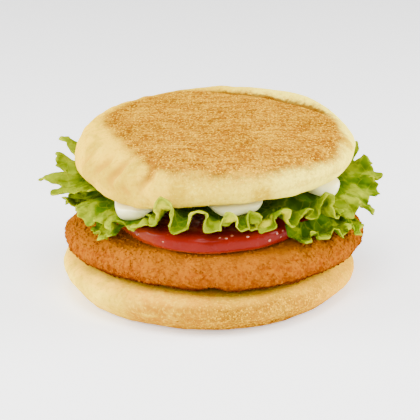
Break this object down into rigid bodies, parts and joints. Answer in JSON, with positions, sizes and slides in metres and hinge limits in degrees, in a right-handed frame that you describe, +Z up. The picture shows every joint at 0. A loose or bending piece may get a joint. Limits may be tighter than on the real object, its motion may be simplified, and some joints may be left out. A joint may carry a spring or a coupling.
{
  "type": "chicken burger in a griddled muffin",
  "caption": "Breaded chicken patty with tomato slices, frilled lettuce and mayonnaise between the halves of a griddled muffin.",
  "frame": {"origin": "middle of the flat underside of the muffin's lower half, on the surface it stands on", "axes": "+Z up through the stack, -Y towards the side shown in the picture, +X to that side's right"},
  "size_m": [0.1107, 0.0964, 0.0565],
  "materials": {
    "muffin": "soft matt bread, toasted brown and grainy where it met the griddle, cream at the sides",
    "breading": "fried crumb coating, craggy, golden orange with browner lumps, slightly oily",
    "tomato": "wet red skin and paler red cut faces",
    "lettuce": "lime green leaf with pale ribs, waxy, darker in the folds",
    "mayonnaise": "smooth white sauce with a soft gloss"
  },
  "bodies": {
    "root": {"muffin_heel": "muffin", "chicken_patty": "breading", "tomato_slice_back": "tomato", "tomato_slice_front": "tomato", "lettuce_left": "lettuce", "lettuce_front_left": "lettuce", "lettuce_front": "lettuce", "lettuce_front_right": "lettuce", "lettuce_right": "lettuce", "lettuce_back_right": "lettuce", "lettuce_back_left": "lettuce", "lettuce_low_side": "lettuce", "lettuce_low_left": "lettuce", "lettuce_low_right": "lettuce", "lettuce_low_back": "lettuce", "mayonnaise": "mayonnaise", "muffin_crown": "muffin"}
  },
  "joints": []
}
